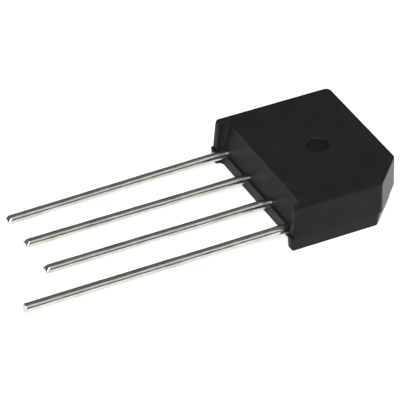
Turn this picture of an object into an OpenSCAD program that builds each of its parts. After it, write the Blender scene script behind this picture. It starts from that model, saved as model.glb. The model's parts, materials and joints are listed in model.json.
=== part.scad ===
// Single-in-line bridge rectifier: a moulded case with four round leads, lying on its flat face.
// X runs along the row of leads towards the positive lead, Y away from the lead tips, Z up.
// The origin is the centre of the flat lower face. Everything is in millimetres.

/* [Case] */
// Width along the row of leads, at the parting line
case_w = 14.7; // [14.2:0.1:15.2]
// Depth along the leads, ears included, at the parting line
case_l = 11.6; // [11:0.1:12]
// Thickness from the flat face to the top face
case_t = 4.3; // [4:0.1:4.6]
// Height of the parting line, where the two mould halves met and the leads come out
parting_z = 1.4; // [1.2:0.05:1.6]
// Leg of the 45 degree corner that marks the positive lead
polarity_cut = 3.1; // [2.4:0.1:3.4]
// Plan radius of the two back corners and of both ends of the polarity corner
corner_r = 0.65; // [0.4:0.05:0.8]
// Radius along the edges of the top face and the flat face
edge_r = 0.1; // [0.05:0.01:0.11]
// How far each side wall leans in between the parting line and the face
draft = 0.14; // [0.08:0.01:0.15]
// How far the upper mould half sits back from the lower one
mould_shift = 0.2; // [0:0.05:0.3]

/* [Ears and lead face] */
// Thickness of the two ears that stand the case off a board
ear_t = 0.85; // [0.7:0.01:0.9]
// How far the ears stand out beyond the lead face, at the parting line
ear_l = 0.6; // [0.4:0.05:0.8]
// Plan radius of the outer front corner of an ear
ear_r = 0.28; // [0.27:0.01:0.4]
// Radius on the inner front edge of an ear
ear_edge_r = 0.1; // [0.05:0.01:0.15]
// Radius of the inside corner between an ear and the lead face
fillet_r = 0.45; // [0.2:0.05:0.5]
// How far the lead face leans back over the upper half
upper_lean = 0.45; // [0.2:0.05:0.6]
// How far the lead face leans back over the lower half
lower_lean = 0.15; // [0.05:0.05:0.3]

/* [Ejector mark] */
// Diameter of the round ejector mark in the top face
mark_d = 2.1; // [1.5:0.1:3]
// Depth of the mark
mark_depth = 0.1; // [0.05:0.01:0.2]
// Place of the mark's centre across the leads
mark_x = -0.15; // [-0.5:0.05:0.5]
// Place of the mark's centre along the leads
mark_y = 0.7; // [0:0.1:1.5]

/* [Leads] */
// Distance between neighbouring leads
pitch = 3.81; // [3.6:0.01:4]
// Diameter of a round lead, tin coat included
lead_d = 0.8; // [0.71:0.01:0.86]
// Thickness of the tin coat on the free part of a lead
tin_t = 0.02; // [0.01:0.005:0.04]
// How far the three shorter leads reach beyond the ears
lead_l = 20.5; // [15:0.1:24]
// How much longer the positive lead is
positive_extra = 3.6; // [1:0.1:5]
// Chamfer on the cut tip of a lead
tip_chamfer = 0.06; // [0.02:0.01:0.12]
// Width of the flattened inner end
pad_w = 1.4; // [1.3:0.01:1.5]
// Thickness of the flattened inner end
pad_t = 0.36; // [0.3:0.01:0.4]

/* [Inside the case] */
// Side of a square silicon diode chip
chip_w = 1.2; // [1:0.05:1.25]
// Thickness of a chip
chip_t = 0.25; // [0.2:0.01:0.3]
// Thickness of a solder layer
solder_t = 0.05; // [0.04:0.01:0.08]
// Width of a copper jumper strip
strip_w = 1.1; // [0.9:0.05:1.2]
// Thickness of a jumper strip
strip_t = 0.3; // [0.2:0.01:0.35]

/* [Hidden] */

$fn = 64;
hull_fn = 32;      // facets of the round corners that a hull joins
over = 0.5;        // how far a cutting shape runs past what it cuts
half_w = case_w / 2;
front_y = -case_l / 2;
upper_t = case_t - parting_z;

// Leads from the plain side to the polarity corner
lead_x = [-1.5 * pitch, -0.5 * pitch, 0.5 * pitch, 1.5 * pitch];
negative = 0;
ac_1 = 1;
ac_2 = 2;
positive = 3;

// The two rows of chips, and how far a flattened end runs past the middle of its last row
row_positive = 1.9;
row_negative = -1.1;
pad_past = 0.75;
wire_d = lead_d - 2 * tin_t;
flat_start = 0.05; // how far behind the lead face a wire starts to flatten
flare_l = 2.4;     // length over which it flattens
wire_end = front_y + ear_l + flat_start;
tin_l = 0.55;      // from there out to where the tin coat has its full thickness

// Levels of the stack on the flattened ends, counted up from the lead's axis
pad_top = parting_z + pad_t / 2;
chip_z = pad_top + solder_t;
chip_top = chip_z + chip_t;
strip_z = chip_top + solder_t;
joggle_in = 1.0;   // from the middle of the last chip to the bend
joggle_l = 0.4;    // length of the sloping part of the bend
strip_past = 0.55; // how far a strip runs past the middle of what it joins

// Each chip as [lead it lies on, row it lies in]
chips = [[ac_1, row_positive], [ac_2, row_positive], [ac_1, row_negative], [ac_2, row_negative]];
CHIP_NODES = ["chip_ac_1_to_positive", "chip_ac_2_to_positive", "chip_negative_to_ac_1", "chip_negative_to_ac_2"];

// ---------------------------------------------------------------- case

// A corner of one mould half: a post that narrows with the draft and is rounded over at its end
module corner_post(r, h) {
    top_r = r - draft;
    round_over = [for (a = [0:15:90]) [top_r - edge_r + edge_r * cos(a), h - edge_r + edge_r * sin(a)]];
    rotate_extrude($fn = hull_fn)
        polygon(concat([[0, 0], [r, 0]], round_over, [[0, h]]));
}

// Outline of one mould half, with the polarity corner cut off square to 45 degrees
module half_block(h) {
    back_y = case_l / 2 - corner_r;
    side_x = half_w - corner_r;
    cut_sum = half_w + case_l / 2 - polarity_cut - sqrt(2) * corner_r;
    hull() {
        for (side = [-1, 1])
            translate([side * (half_w - ear_r), front_y + ear_r, 0]) corner_post(ear_r, h);
        translate([-side_x, back_y, 0]) corner_post(corner_r, h);
        translate([cut_sum - back_y, back_y, 0]) corner_post(corner_r, h);
        translate([side_x, cut_sum - side_x, 0]) corner_post(corner_r, h);
    }
}

// The space between the ears, in front of the leaning lead face
module recess(h, lean) {
    inner_x = half_w - ear_t;
    lean_rate = lean / h;
    face_y = front_y + ear_l;
    hull() {
        for (z = [-over, h + over]) {
            for (side = [-1, 1])
                translate([side * (inner_x - fillet_r), face_y + z * lean_rate - fillet_r, z])
                    cylinder(r = fillet_r, h = 0.01, $fn = hull_fn);
            translate([-inner_x, front_y - 1, z]) cube([2 * inner_x, 0.5, 0.01]);
        }
    }
}

// The strip that is taken off a square edge running up Z to round it
module edge_cutter(r, h) {
    linear_extrude(height = h)
        difference() {
            translate([-over, -over]) square(r + over);
            translate([r, r]) circle(r);
        }
}

// One mould half, from the parting plane at z = 0 up to its face at z = h
module mould_half(h, lean) {
    inner_x = half_w - ear_t;
    draft_angle = atan(draft / h);
    difference() {
        half_block(h);
        recess(h, lean);
        for (side = [0, 1])
            mirror([side, 0, 0])
                translate([inner_x, front_y, 0])
                    rotate([-draft_angle, 0, 0])
                        translate([0, 0, -over]) edge_cutter(ear_edge_r, h + 2 * over);
    }
}

module ejector_mark() {
    translate([mark_x, mark_y, case_t - mark_depth])
        cylinder(d1 = mark_d - mark_depth, d2 = mark_d + mark_depth, h = 2 * mark_depth);
}

// Everything that the case was moulded around
module insides() {
    for (i = [0:3]) lead(i);
    for (i = [0:3]) chip(i);
    for (i = [0:3]) solder_below(i);
    for (i = [0:3]) solder_above(i);
    strip_positive();
    strip_negative();
    solder_strip(positive);
    solder_strip(negative);
}

module case() {
    color("#26272a")
        difference() {
            union() {
                translate([0, mould_shift, parting_z]) mould_half(upper_t, upper_lean);
                translate([0, 0, parting_z]) mirror([0, 0, 1]) mould_half(parting_z, lower_lean);
            }
            ejector_mark();
            insides();
        }
}

// --------------------------------------------------------------- leads

// Plan outline of a flattened end, flaring out from the wire's own width
module pad_plan(l) {
    polygon([
        [-wire_d / 2, 0], [wire_d / 2, 0], [pad_w / 2, flare_l],
        [pad_w / 2, l], [-pad_w / 2, l], [-pad_w / 2, flare_l]
    ]);
}

// Side outline of a flattened end, thinning from the wire's diameter
module pad_side(l) {
    polygon([
        [0, -wire_d / 2], [flare_l, -pad_t / 2], [l, -pad_t / 2],
        [l, pad_t / 2], [flare_l, pad_t / 2], [0, wire_d / 2]
    ]);
}

// The inner end of a wire, coined from round to flat; it starts at the origin and runs along +Y
module coined_end(l) {
    clear_d = pad_w + wire_d;
    intersection() {
        translate([0, 0, -wire_d / 2]) linear_extrude(height = wire_d) pad_plan(l);
        rotate([90, 0, 90]) linear_extrude(height = pad_w, center = true) pad_side(l);
        rotate([-90, 0, 0]) {
            cylinder(d1 = wire_d, d2 = clear_d, h = flare_l);
            translate([0, 0, flare_l]) cylinder(d = clear_d, h = l - flare_l);
        }
    }
}

// Side profile of the round part of a lead, from its axis: the tin coat thins out towards the case, and
// the cut tip has a small chamfer
module wire_profile(l) {
    lead_r = lead_d / 2;
    polygon([
        [0, 0], [wire_d / 2, 0], [lead_r, tin_l], [lead_r, l - tip_chamfer],
        [lead_r - tip_chamfer, l], [0, l]
    ]);
}

// Lead i: a round wire that runs out through the lead face, flattened inside the case
module lead(i) {
    reach = lead_l + (i == positive ? positive_extra : 0);
    tip_y = front_y + mould_shift - reach;
    pad_end = (i == negative ? row_negative : row_positive) + pad_past;
    color("#c9cacb") translate([lead_x[i], wire_end, parting_z]) {
        rotate([90, 0, 0]) rotate_extrude() wire_profile(wire_end - tip_y);
        coined_end(pad_end - wire_end);
    }
}

// ------------------------------------------------------ chips and strips

module square_layer(x, y, z, w, t) {
    translate([x - w / 2, y - w / 2, z]) cube([w, w, t]);
}

module chip(i) {
    color("#5d6066") square_layer(lead_x[chips[i][0]], chips[i][1], chip_z, chip_w, chip_t);
}

module solder_below(i) {
    color("#a9abad") square_layer(lead_x[chips[i][0]], chips[i][1], pad_top, chip_w, solder_t);
}

module solder_above(i) {
    color("#a9abad") square_layer(lead_x[chips[i][0]], chips[i][1], chip_top, strip_w, solder_t);
}

// Solder between the end of a jumper strip and the outer lead it feeds
module solder_strip(i) {
    row = i == positive ? row_positive : row_negative;
    color("#a9abad") square_layer(lead_x[i], row, pad_top, strip_w, solder_t);
}

// A jumper strip over two chips, stepped down to the outer lead on the +X side
module jumper_strip(row) {
    drop = strip_z - chip_z;
    start_x = lead_x[ac_1] - strip_past;
    bend_x = lead_x[ac_2] + joggle_in;
    foot_x = bend_x + joggle_l;
    end_x = lead_x[positive] + strip_past;
    color("#b87347")
        translate([0, row + strip_w / 2, strip_z])
            rotate([90, 0, 0])
                linear_extrude(height = strip_w)
                    polygon([
                        [start_x, 0], [bend_x, 0], [foot_x, -drop], [end_x, -drop],
                        [end_x, strip_t - drop], [foot_x, strip_t - drop], [bend_x, strip_t], [start_x, strip_t]
                    ]);
}

module strip_positive() {
    jumper_strip(row_positive);
}

module strip_negative() {
    mirror([1, 0, 0]) jumper_strip(row_negative);
}

// --------------------------------------------------------------- nodes

LEAD_NODES = ["lead_negative", "lead_ac_1", "lead_ac_2", "lead_positive"];

case();
for (i = [0:3]) lead(i);
for (i = [0:3]) chip(i);
strip_positive();
strip_negative();
for (i = [0:3]) solder_below(i);
for (i = [0:3]) solder_above(i);
solder_strip(positive);  // solder_strip_positive
solder_strip(negative);  // solder_strip_negative
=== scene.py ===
"""Finish, lights and camera for a single-in-line bridge rectifier lying on its flat face.

The case is drawn again as one moulding with its rounded edges, and the leads as dipped wires with cut
ends. The chips, jumper strips and solder inside keep their solids and get their own finish.
"""
import json
import math

import bmesh
import bpy
from mathutils import Matrix, Vector, noise


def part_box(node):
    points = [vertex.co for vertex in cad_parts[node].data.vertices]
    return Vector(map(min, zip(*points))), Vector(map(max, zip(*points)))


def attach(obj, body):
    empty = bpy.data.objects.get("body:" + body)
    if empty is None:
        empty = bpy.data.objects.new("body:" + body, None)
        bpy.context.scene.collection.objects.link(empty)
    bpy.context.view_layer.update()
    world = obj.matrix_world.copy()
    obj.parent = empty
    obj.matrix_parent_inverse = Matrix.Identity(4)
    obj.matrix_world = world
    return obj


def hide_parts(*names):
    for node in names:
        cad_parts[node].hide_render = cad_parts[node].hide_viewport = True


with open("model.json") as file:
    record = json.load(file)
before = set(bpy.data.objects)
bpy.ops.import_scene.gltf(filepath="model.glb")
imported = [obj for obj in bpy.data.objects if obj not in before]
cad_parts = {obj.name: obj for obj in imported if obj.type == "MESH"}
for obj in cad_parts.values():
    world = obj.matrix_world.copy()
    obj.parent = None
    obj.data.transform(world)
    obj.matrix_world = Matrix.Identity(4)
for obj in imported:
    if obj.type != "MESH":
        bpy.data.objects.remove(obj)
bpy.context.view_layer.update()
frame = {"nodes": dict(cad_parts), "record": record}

MM = 0.001
SHARP_ANGLE = math.radians(32)  # edges that turn by more than this stay sharp
scene = bpy.context.scene


# ------------------------------------------------------------------ small tools

def linear(hex_colour):
    """An sRGB hex colour as the linear RGBA that shader sockets take."""
    channels = [int(hex_colour[i:i + 2], 16) / 255 for i in (1, 3, 5)]
    return tuple(c / 12.92 if c <= 0.04045 else ((c + 0.055) / 1.055) ** 2.4 for c in channels) + (1.0,)


def per_mm(size):
    """Texture scale, in cycles per metre, of a pattern whose features are this many millimetres wide."""
    return 1 / (size * MM)


def add_node(tree, kind, inputs=(), **settings):
    """Adds a node. Each input is a value or the output socket that feeds it."""
    node = tree.nodes.new(kind)
    for name, value in settings.items():
        setattr(node, name, value)
    for socket, value in dict(inputs).items():
        if isinstance(value, bpy.types.NodeSocket):
            tree.links.new(value, node.inputs[socket])
        else:
            node.inputs[socket].default_value = value
    return node


def new_material(name):
    """An empty material with its node tree."""
    material = bpy.data.materials.new(name)
    material.use_nodes = True
    material.node_tree.nodes.clear()
    return material, material.node_tree


def finish_material(tree, shader):
    """Ends a material with its output node."""
    add_node(tree, "ShaderNodeOutputMaterial", {"Surface": shader})


def piece_from(bm, name, material, slot, *nodes):
    """Makes a mesh drawn in millimetres into a piece that stands for these CAD nodes."""
    bmesh.ops.recalc_face_normals(bm, faces=bm.faces)
    mesh = bpy.data.meshes.new(name)
    bm.to_mesh(mesh)
    bm.free()
    mesh.transform(Matrix.Scale(MM, 4))
    mesh.shade_smooth()
    mesh.set_sharp_from_angle(angle=SHARP_ANGLE)
    mesh.materials.append(material)
    piece = bpy.data.objects.new(name, mesh)
    scene.collection.objects.link(piece)
    flats = piece.modifiers.new("flat faces keep their shading", "WEIGHTED_NORMAL")
    flats.keep_sharp = True
    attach(piece, "root")
    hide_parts(*nodes)
    return piece


def bridge(bm, ring_a, ring_b):
    """Quads between two closed rings with as many points each."""
    count = len(ring_a)
    for k in range(count):
        bm.faces.new((ring_a[k], ring_a[(k + 1) % count], ring_b[(k + 1) % count], ring_b[k]))


def fill_between(bm, *rings):
    """Flat faces that fill a ring, or the space between a ring and a hole in it."""
    edges = [bm.edges.get((ring[k - 1], ring[k])) for ring in rings for k in range(len(ring))]
    bmesh.ops.triangle_fill(bm, use_beauty=True, edges=edges)


# ------------------------------------------------------- sizes in millimetres

CASE_LOW, CASE_HIGH = (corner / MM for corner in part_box("case"))
HALF_W = (CASE_HIGH.x - CASE_LOW.x) / 2
TOP_Z = CASE_HIGH.z
MOULD_SHIFT = 0.2          # how far the upper mould half sits back from the lower one
FRONT_Y = CASE_LOW.y       # front of the ears, lower half
BACK_Y = CASE_HIGH.y - MOULD_SHIFT
LEAD_PINS = [m for m in frame["record"]["mounts"] if m["kind"] == "pin"]
PARTING_Z = LEAD_PINS[0]["pos_m"][2] / MM

POLARITY_CUT = 3.1         # leg of the 45 degree corner
CORNER_R = 0.65            # plan radius of the corners at the back
EDGE_R = 0.1               # along the edges of the top and lower faces
DRAFT = 0.14               # how far the walls lean in over the height of a half
EAR_T = 0.85               # thickness of an ear
EAR_L = 0.6                # how far it stands out beyond the lead face
EAR_R = 0.28               # outer front corner of an ear, in plan
EAR_EDGE_R = 0.1           # inner front edge of an ear
FILLET_R = 0.45            # between an ear and the lead face
UPPER_FRONT_R = 0.3        # rounding of the ears' front ends at the top
LOWER_FRONT_R = 0.2        # and at the bottom
UPPER_LEAN = 0.45          # how far the lead face leans back over the upper half
LOWER_LEAN = 0.15          # and over the lower half
PARTING_R = 0.02           # the two halves' edges are hardly rounded where they meet
MARK_CENTRE = Vector((-0.15, 0.7, TOP_Z))  # the ejector mark
MARK_R = 1.05
MARK_DEPTH = 0.1
MARK_FADE = 0.06           # width over which the finish changes at its edge
RIM = 0.02                 # flat strip round each flat face, so that the face shades flat

WIRE_R = LEAD_PINS[0]["dims"]["r_mm"]
BARE_R = WIRE_R - 0.02     # wire without its tin coat
THIN_COAT_R = WIRE_R - 0.008
THICK_COAT_R = WIRE_R + 0.01
COAT_Y = FRONT_Y + 0.1     # the coat has its full thickness from here out
FLAT_Y = FRONT_Y + EAR_L + 0.05  # from here in, a wire flattens
FLARE_L = 2.4              # length over which it does so
PAD_HALF_W = 0.7           # the flattened end
PAD_HALF_T = 0.18
COAT_STEP = 0.15           # distance between the sections that carry the coat
LUMP_H = 0.009             # height of the coat's long lumps
LUMP_ROUND = 0.9           # how fast they change round the wire, per radius
LUMP_ALONG = 0.55          # and along it, per millimetre
RUN_H = 0.005              # the same for its short runs
RUN_ROUND = 1.6
RUN_ALONG = 1.7
RUN_SHIFT = 7              # keeps the runs apart from the lumps
TIP_L = 0.34               # the evenly spaced sections end this far from the tip
NIP_TOP_L = 0.3            # length of a nipped tip's upper slope
NIP_TOP_BEND = 0.75        # 1 would make that slope straight, and less makes it bulge
NIP_UNDER_L = 0.12         # the same for its lower slope
NIP_UNDER_BEND = 0.8
NIP_SPREAD = 0.03          # how much wider the nippers pressed it, as a part of its width
RIDGE = 0.08               # thickness of the nipped edge, as a part of the wire's
SHEAR_ROLL_L = 0.09        # length over which the upper edge of a sheared tip is rolled over
SHEAR_ROLL = 0.12          # how far it is rolled over, as a part of the radius
TIP_STATIONS = (0.3, 0.24, 0.18, 0.12, 0.09, 0.06, 0.03, 0.012, 0.0)  # sections, back from the tip


# -------------------------------------------------------------------- materials

GRAIN = 0.16  # coarser than the real 0.02 mm spark-eroded grain, so that it can be seen


def make_moulded_epoxy():
    """Black epoxy moulding compound, transfer moulded in a spark-eroded tool: satin black, nearly neutral,
    with a fine even grain, slightly cloudy where the silica filler lies closer to the skin. The ejector pin
    was ground flat, so its mark is smoother. Its colour is also painted darker, a painted shade that stands
    for the dark room which the smoother mark mirrors."""
    material, tree = new_material("moulded_epoxy")
    place = add_node(tree, "ShaderNodeTexCoord").outputs["Object"]
    cloud = add_node(tree, "ShaderNodeTexNoise", {"Vector": place, "Scale": per_mm(2.2), "Detail": 3.0})
    grain = add_node(tree, "ShaderNodeTexNoise", {"Vector": place, "Scale": per_mm(GRAIN), "Detail": 2.0})
    tone = add_node(tree, "ShaderNodeValToRGB", {"Fac": cloud.outputs["Fac"]})
    tone.color_ramp.elements[0].position = 0.3
    tone.color_ramp.elements[0].color = linear("#222223")
    tone.color_ramp.elements[1].position = 0.7
    tone.color_ramp.elements[1].color = linear("#282829")

    # 1 inside the ejector mark, 0 outside it
    from_mark = add_node(tree, "ShaderNodeVectorMath", {0: place, 1: MARK_CENTRE * MM}, operation="DISTANCE")
    in_mark = add_node(tree, "ShaderNodeMapRange", {
        "Value": from_mark.outputs["Value"], "From Min": MARK_R * MM, "From Max": (MARK_R - MARK_FADE) * MM,
        "To Min": 0.0, "To Max": 1.0})
    # Inside the ejector mark the colour is painted darker: painted shade for the dark room that the smoother
    # mark mirrors
    colour = add_node(tree, "ShaderNodeMixRGB", {
        "Fac": in_mark.outputs["Result"], "Color1": tone.outputs["Color"], "Color2": linear("#1c1c1c")})
    moulded_gloss = add_node(tree, "ShaderNodeMapRange", {
        "Value": grain.outputs["Fac"], "From Min": 0.3, "From Max": 0.7, "To Min": 0.4, "To Max": 0.5})
    marked_gloss = add_node(tree, "ShaderNodeMapRange", {
        "Value": in_mark.outputs["Result"], "To Min": moulded_gloss.outputs["Result"], "To Max": 0.3})

    # 1 on the polarity corner, which is smoother than the other faces: on it x + y is largest. Draft takes
    # its lower end about 0.2 mm below cut_at, so the change lies lower still.
    across = add_node(tree, "ShaderNodeVectorMath", {0: place, 1: (1.0, 1.0, 0.0)}, operation="DOT_PRODUCT")
    cut_at = (HALF_W + BACK_Y - POLARITY_CUT) * MM
    change_from, change_to = cut_at - 0.4 * MM, cut_at - 0.25 * MM
    on_cut = add_node(tree, "ShaderNodeMapRange", {
        "Value": across.outputs["Value"], "From Min": change_from, "From Max": change_to})
    gloss = add_node(tree, "ShaderNodeMapRange", {
        "Value": on_cut.outputs["Result"], "To Min": marked_gloss.outputs["Result"], "To Max": 0.22})
    relief = add_node(tree, "ShaderNodeBump", {
        "Height": grain.outputs["Fac"], "Strength": 0.2, "Distance": 0.01 * MM})
    skin = add_node(tree, "ShaderNodeBsdfPrincipled", {
        "Base Color": colour.outputs["Color"], "Roughness": gloss.outputs["Result"], "IOR": 1.55,
        "Specular IOR Level": 0.1, "Normal": relief.outputs["Normal"]})
    finish_material(tree, skin.outputs["BSDF"])
    return material


def make_dipped_tin():
    """Copper wire dipped in molten tin: bright grey metal whose coat froze unevenly, with long soft streaks
    along the wire, small dull patches and low lumps."""
    material, tree = new_material("dipped_tin")
    place = add_node(tree, "ShaderNodeTexCoord").outputs["Object"]
    along = add_node(tree, "ShaderNodeMapping", {"Vector": place, "Scale": (1.0, 0.22, 1.0)})
    streaks = add_node(tree, "ShaderNodeTexNoise", {
        "Vector": along.outputs["Vector"], "Scale": per_mm(0.35), "Detail": 3.0})
    patches = add_node(tree, "ShaderNodeTexNoise", {"Vector": place, "Scale": per_mm(1.3), "Detail": 2.0})
    tone = add_node(tree, "ShaderNodeValToRGB", {"Fac": streaks.outputs["Fac"]})
    tone.color_ramp.elements[0].position = 0.35
    tone.color_ramp.elements[0].color = linear("#d4d2ce")
    tone.color_ramp.elements[1].position = 0.65
    tone.color_ramp.elements[1].color = linear("#f0eeea")
    gloss = add_node(tree, "ShaderNodeMapRange", {
        "Value": patches.outputs["Fac"], "From Min": 0.35, "From Max": 0.65, "To Min": 0.12, "To Max": 0.22})
    relief = add_node(tree, "ShaderNodeBump", {
        "Height": streaks.outputs["Fac"], "Strength": 0.6, "Distance": 0.02 * MM})
    metal = add_node(tree, "ShaderNodeBsdfPrincipled", {
        "Base Color": tone.outputs["Color"], "Metallic": 1.0, "Roughness": gloss.outputs["Result"],
        "Normal": relief.outputs["Normal"]})
    finish_material(tree, metal.outputs["BSDF"])
    return material


def make_inner_metal(name, dark, light, roughness, streak_mm):
    """A metal or metallised part inside the case: one colour that drifts a little over its face."""
    material, tree = new_material(name)
    place = add_node(tree, "ShaderNodeTexCoord").outputs["Object"]
    drift = add_node(tree, "ShaderNodeTexNoise", {"Vector": place, "Scale": per_mm(streak_mm), "Detail": 2.0})
    tone = add_node(tree, "ShaderNodeValToRGB", {"Fac": drift.outputs["Fac"]})
    tone.color_ramp.elements[0].color = linear(dark)
    tone.color_ramp.elements[1].color = linear(light)
    metal = add_node(tree, "ShaderNodeBsdfPrincipled", {
        "Base Color": tone.outputs["Color"], "Metallic": 1.0, "Roughness": roughness})
    finish_material(tree, metal.outputs["BSDF"])
    return material


def make_white_paper():
    """The white sheet that the part lies on. Seen by the camera or in a reflection it glows a little, so it
    reads as white, and what it adds to the light on the part is only what white paper gives back."""
    material, tree = new_material("white_paper")
    path = add_node(tree, "ShaderNodeLightPath").outputs
    glow_in_reflections, glow_in_view = 0.35, 0.65
    mirrored = add_node(tree, "ShaderNodeMath", {0: path["Is Glossy Ray"], 1: path["Is Transmission Ray"]},
                        operation="MAXIMUM")
    reflected_glow = add_node(tree, "ShaderNodeMath", {0: mirrored.outputs[0], 1: glow_in_reflections},
                              operation="MULTIPLY")
    strength = add_node(tree, "ShaderNodeMath", {
        0: path["Is Camera Ray"], 1: glow_in_view, 2: reflected_glow.outputs[0]}, operation="MULTIPLY_ADD")
    paper = add_node(tree, "ShaderNodeBsdfDiffuse", {"Color": linear("#e8e6e1")})
    glow = add_node(tree, "ShaderNodeEmission", {"Color": linear("#ffffff"), "Strength": strength.outputs[0]})
    both = add_node(tree, "ShaderNodeAddShader", {0: paper.outputs[0], 1: glow.outputs[0]})
    finish_material(tree, both.outputs[0])
    return material


# ----------------------------------------------------------------- moulded case

ARC_STEPS = 8      # facets of each rounding in plan
MARK_STEPS = 64    # facets round the ejector mark
WALL_STEPS = 12    # rows of facets up a wall
SEAM_HALF_H = 0.004  # half the height of the step between the mould halves


def arc(centre, radius, start, end, steps=ARC_STEPS):
    """Plan points of an arc from one angle to another, in degrees."""
    points = []
    for k in range(steps + 1):
        angle = math.radians(start + (end - start) * k / steps)
        points.append((centre[0] + radius * math.cos(angle), centre[1] + radius * math.sin(angle)))
    return points


def case_outline(inset, face_y, ear_in, front_in):
    """Plan outline of a mould half: its outer walls moved in by inset, its ears thinned on their inner side
    by ear_in and set back at their fronts by front_in."""
    ear_x = HALF_W - EAR_T + ear_in
    side_x = HALF_W - CORNER_R
    back_y = BACK_Y - CORNER_R
    cut_sum = HALF_W + BACK_Y - POLARITY_CUT - math.sqrt(2) * CORNER_R
    front_y = FRONT_Y + front_in
    left = []
    left += arc((-HALF_W + EAR_R, front_y + EAR_R), EAR_R - inset, 180, 270)
    left += arc((-ear_x - EAR_EDGE_R, front_y + inset + EAR_EDGE_R), EAR_EDGE_R, 270, 360)
    left += arc((-ear_x + FILLET_R, face_y - FILLET_R), FILLET_R, 180, 90)
    right = [(-x, y) for x, y in reversed(left)]
    round_r = CORNER_R - inset
    behind = arc((side_x, cut_sum - side_x), round_r, 0, 45)
    behind += arc((cut_sum - back_y, back_y), round_r, 45, 90)
    behind += arc((-side_x, back_y), round_r, 90, 180)
    return left + right + behind


def half_levels(height, lean, front_r):
    """Levels of one mould half from the parting plane to its face, each as its height and what case_outline
    takes there. The ears' front ends are rounded over with front_r, more than the other edges."""

    def front_in(level):
        into = max(0.0, level - (height - front_r))
        return front_r - math.sqrt(max(0.0, front_r ** 2 - into ** 2))

    wall_top = height - EDGE_R
    face_y = FRONT_Y + EAR_L
    levels = []
    for angle in (90, 45, 0):
        back = PARTING_R * (1 - math.cos(math.radians(angle)))
        levels.append((PARTING_R * (1 - math.sin(math.radians(angle))), back, face_y + back, back, 0))
    for k in range(1, WALL_STEPS + 1):
        level = PARTING_R + (wall_top - PARTING_R) * k / WALL_STEPS
        levels.append((level, DRAFT * level / wall_top, face_y + lean * level / height, 0, front_in(level)))
    for angle in (15, 30, 45, 60, 75, 90):
        level = wall_top + EDGE_R * math.sin(math.radians(angle))
        back = EDGE_R * (1 - math.cos(math.radians(angle)))
        levels.append((level, DRAFT + back, face_y + lean * level / height + back, back,
                       max(0.0, front_in(level) - back)))
    level, *walls = levels[-1]
    levels.append((level, *(wall + RIM for wall in walls[:3]), walls[3]))
    return levels


def make_case(material):
    """The moulding as one stack of outlines, from its lower face up to its top face."""
    bm = bmesh.new()
    stack = []
    for level, *walls in reversed(half_levels(PARTING_Z, LOWER_LEAN, LOWER_FRONT_R)):
        stack.append((min(PARTING_Z - level, PARTING_Z - SEAM_HALF_H), 0, case_outline(*walls)))
    for level, *walls in half_levels(TOP_Z - PARTING_Z, UPPER_LEAN, UPPER_FRONT_R):
        stack.append((max(PARTING_Z + level, PARTING_Z + SEAM_HALF_H), MOULD_SHIFT, case_outline(*walls)))
    rings = [[bm.verts.new((x, y + shift, z)) for x, y in outline] for z, shift, outline in stack]
    for lower, upper in zip(rings, rings[1:]):
        bridge(bm, lower, upper)

    # The ejector mark: a shallow round dish with a small fillet at its foot. Each ring is given by how far
    # it lies outside MARK_R and how high above the top face.
    dish = [(0.06, 0.0), (0.03, 0.0), (0.0, -0.012), (-0.04, -MARK_DEPTH + 0.02), (-0.075, -MARK_DEPTH),
            (-0.1, -MARK_DEPTH)]
    dish_rings = []
    for grow, drop in dish:
        circle = arc(MARK_CENTRE, MARK_R + grow, 0, 360, MARK_STEPS)[:-1]
        dish_rings.append([bm.verts.new((x, y, TOP_Z + drop)) for x, y in circle])
    for upper, lower in zip(dish_rings, dish_rings[1:]):
        bridge(bm, upper, lower)
    bm.faces.new(dish_rings[-1])
    fill_between(bm, rings[0])
    fill_between(bm, rings[-1], dish_rings[0])
    return piece_from(bm, "moulded_case", material, "moulded_epoxy", "case")


# ------------------------------------------------------------------------ leads

AROUND = 28         # facets round a wire
ROUND = 2           # squareness of a round section
PAD_SQUARENESS = 8  # and of the flattened end
FLARE_STEPS = 8


def section(half_w, half_t, squareness):
    """Points round a section: an ellipse where squareness is ROUND, and nearer a rectangle above that."""
    power = ROUND / squareness

    def squared(value):
        return math.copysign(abs(value) ** power, value)

    angles = [2 * math.pi * k / AROUND for k in range(AROUND)]
    return [(half_w * squared(math.cos(angle)), half_t * squared(math.sin(angle))) for angle in angles]


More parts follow.
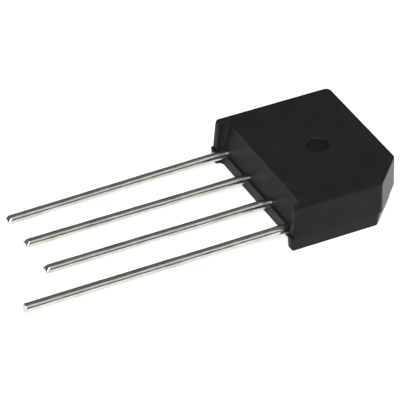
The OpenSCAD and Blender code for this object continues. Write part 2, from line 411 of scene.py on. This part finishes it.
def make_lead(material, node, seed, coat_r, lean_at_case, lean_at_tip, nipped):
    """A wire from its flattened end inside the case to its cut tip. Handling has left it a little aslant: it
    stands lean_at_case off its axis where it leaves the case and lean_at_tip at the tip. A nipped tip is a
    wedge, and any other was sheared square. The seed sets where its coat is thick and thin."""
    low, high = (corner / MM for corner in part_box(node))
    axis_x, axis_z = (low.x + high.x) / 2, PARTING_Z
    tip_y, pad_y = low.y, high.y
    bm = bmesh.new()
    rings = []

    def station(y, points):
        if y > FLAT_Y:
            lean = lean_at_case * max(0.0, 1 - (y - FLAT_Y) / FLARE_L)
        else:
            lean = lean_at_case + (lean_at_tip - lean_at_case) * (FLAT_Y - y) / (FLAT_Y - tip_y)
        rings.append([bm.verts.new((axis_x + lean + x, y, axis_z + z)) for x, z in points])

    # Inside the case: flat end, flaring back to the round wire
    station(pad_y, section(PAD_HALF_W, PAD_HALF_T, PAD_SQUARENESS))
    for k in range(FLARE_STEPS + 1):
        part = k / FLARE_STEPS
        half_w = PAD_HALF_W + (BARE_R - PAD_HALF_W) * part
        half_t = PAD_HALF_T + (BARE_R - PAD_HALF_T) * part
        squareness = PAD_SQUARENESS + (ROUND - PAD_SQUARENESS) * part
        station(FLAT_Y + FLARE_L * (1 - part), section(half_w, half_t, squareness))

    # Outside: a dipped wire, its coat a little uneven
    def dipped_r(x, z, y):
        lump = noise.noise(Vector((x * LUMP_ROUND + seed, z * LUMP_ROUND, y * LUMP_ALONG)))
        run = noise.noise(Vector((x * RUN_ROUND - seed, z * RUN_ROUND + RUN_SHIFT, y * RUN_ALONG)))
        return coat_r + LUMP_H * lump + RUN_H * run

    end_y = tip_y + TIP_L
    count = round((COAT_Y - end_y) / COAT_STEP)
    for k in range(count + 1):
        y = COAT_Y + (end_y - COAT_Y) * k / count
        station(y, [(x * dipped_r(x, z, y), z * dipped_r(x, z, y)) for x, z in section(1, 1, ROUND)])

    # The cut tip, its upper and lower sides drawn in towards the edge that the tool left
    for back in TIP_STATIONS:
        y = tip_y + back
        if nipped:
            top = min(1.0, RIDGE + (1 - RIDGE) * (back / NIP_TOP_L) ** NIP_TOP_BEND)
            bottom = min(1.0, RIDGE + (1 - RIDGE) * (back / NIP_UNDER_L) ** NIP_UNDER_BEND)
            spread = 1 + NIP_SPREAD * (1 - back / NIP_TOP_L)
        else:
            top, bottom, spread = 1 - SHEAR_ROLL * max(0.0, 1 - back / SHEAR_ROLL_L) ** 2, 1.0, 1.0
        points = []
        for x, z in section(1, 1, ROUND):
            radius = dipped_r(x, z, y)
            points.append((x * radius * spread, z * radius * (top if z > 0 else bottom)))
        station(y, points)

    for ring_a, ring_b in zip(rings, rings[1:]):
        bridge(bm, ring_a, ring_b)
    bm.faces.new(rings[0])
    bm.faces.new(list(reversed(rings[-1])))
    return piece_from(bm, "tinned_" + node, material, "tinned_copper", node)


# ------------------------------------------------------------------- the object

epoxy = make_moulded_epoxy()
tin = make_dipped_tin()
make_case(epoxy)
make_lead(tin, "lead_negative", 0.0, THIN_COAT_R, lean_at_case=-0.15, lean_at_tip=0.28, nipped=True)
make_lead(tin, "lead_ac_1", 3.7, THIN_COAT_R, lean_at_case=0.0, lean_at_tip=0.02, nipped=True)
make_lead(tin, "lead_ac_2", 7.4, THIN_COAT_R, lean_at_case=0.05, lean_at_tip=0.05, nipped=True)
make_lead(tin, "lead_positive", 11.1, THICK_COAT_R, lean_at_case=0.0, lean_at_tip=0.02, nipped=False)

INNER_FINISHES = {
    "silicon": make_inner_metal("metallised_silicon", "#5a5d64", "#6c6f76", roughness=0.3, streak_mm=0.6),
    "copper": make_inner_metal("stamped_copper", "#b06f45", "#c98559", roughness=0.35, streak_mm=0.5),
    "solder": make_inner_metal("reflowed_solder", "#9fa1a3", "#b4b6b8", roughness=0.45, streak_mm=0.2),
}
for part in frame["record"]["subparts"]:
    if part["material_slot"] in INNER_FINISHES:
        mesh = frame["nodes"][part["node"]].data
        mesh.materials.clear()
        mesh.materials.append(INNER_FINISHES[part["material_slot"]])


# ------------------------------------------------------ floor, lights and camera

SHEET_REACH = 2.0  # metres from the object to the sheet's edges
sheet_corners = [(x * SHEET_REACH, y * SHEET_REACH, 0) for x, y in ((-1, -1), (1, -1), (1, 1), (-1, 1))]
floor_mesh = bpy.data.meshes.new("white_sheet")
floor_mesh.from_pydata(sheet_corners, [], [(0, 1, 2, 3)])
floor_mesh.materials.append(make_white_paper())
floor = bpy.data.objects.new("white_sheet", floor_mesh)
floor.location.z = -0.02 * MM  # just clear of the lower face
scene.collection.objects.link(floor)

world = bpy.data.worlds.new("dim room")
scene.world = world
world.use_nodes = True
background = world.node_tree.nodes["Background"]
background.inputs["Color"].default_value = linear("#646464")
background.inputs["Strength"].default_value = 1.0

OBJECT_CENTRE = Vector((0, -6 * MM, 2 * MM))


def direction_to(azimuth, elevation):
    """Unit vector from the object, for angles in degrees. Azimuth is counted from -Y towards +X."""
    az, el = math.radians(azimuth), math.radians(elevation)
    return Vector((math.sin(az) * math.cos(el), -math.cos(az) * math.cos(el), math.sin(el)))


def softbox(name, azimuth, elevation, distance, width, height, power):
    """A soft area lamp that faces the object."""
    direction = direction_to(azimuth, elevation)
    lamp = bpy.data.lights.new(name, "AREA")
    lamp.shape = "RECTANGLE"
    lamp.size, lamp.size_y = width, height
    lamp.energy = power
    holder = bpy.data.objects.new(name, lamp)
    holder.location = OBJECT_CENTRE + direction * distance
    holder.rotation_euler = direction.to_track_quat("Z", "Y").to_euler()
    scene.collection.objects.link(holder)


# The key light stands near the camera. The panel overhead is what the leads mirror as a bright line.
softbox("key_softbox", azimuth=55, elevation=42, distance=0.9, width=0.8, height=0.6, power=6.5)
softbox("back_fill", azimuth=180, elevation=40, distance=0.9, width=0.8, height=0.5, power=2.0)
softbox("overhead_panel", azimuth=90, elevation=53, distance=0.9, width=1.3, height=0.65, power=1.6)

# The camera: its angles in degrees, its distance and the point it aims at in millimetres
VIEW_AZIMUTH, VIEW_ELEVATION, VIEW_ROLL = 61.14, 37.1, 1.84
VIEW_DISTANCE = 246.7
VIEW_AIM = Vector((-0.22, -10.54, 2.0))
FOCAL_IN_FRAMES = 7.284  # focal length as a multiple of the render's width

back = direction_to(VIEW_AZIMUTH, VIEW_ELEVATION)
right = direction_to(VIEW_AZIMUTH + 90, 0)
up = back.cross(right)
roll = math.radians(VIEW_ROLL)
rolled_right = right * math.cos(roll) + up * math.sin(roll)
rolled_up = up * math.cos(roll) - right * math.sin(roll)
camera_data = bpy.data.cameras.new("camera")
camera_data.sensor_width = 36
camera_data.lens = FOCAL_IN_FRAMES * camera_data.sensor_width
camera_data.clip_start = 0.01
camera = bpy.data.objects.new("camera", camera_data)
camera.matrix_world = Matrix.Translation((VIEW_AIM + back * VIEW_DISTANCE) * MM) @ Matrix(
    (rolled_right, rolled_up, back)).transposed().to_4x4()
scene.collection.objects.link(camera)
scene.camera = camera

scene.view_settings.view_transform = "Standard"
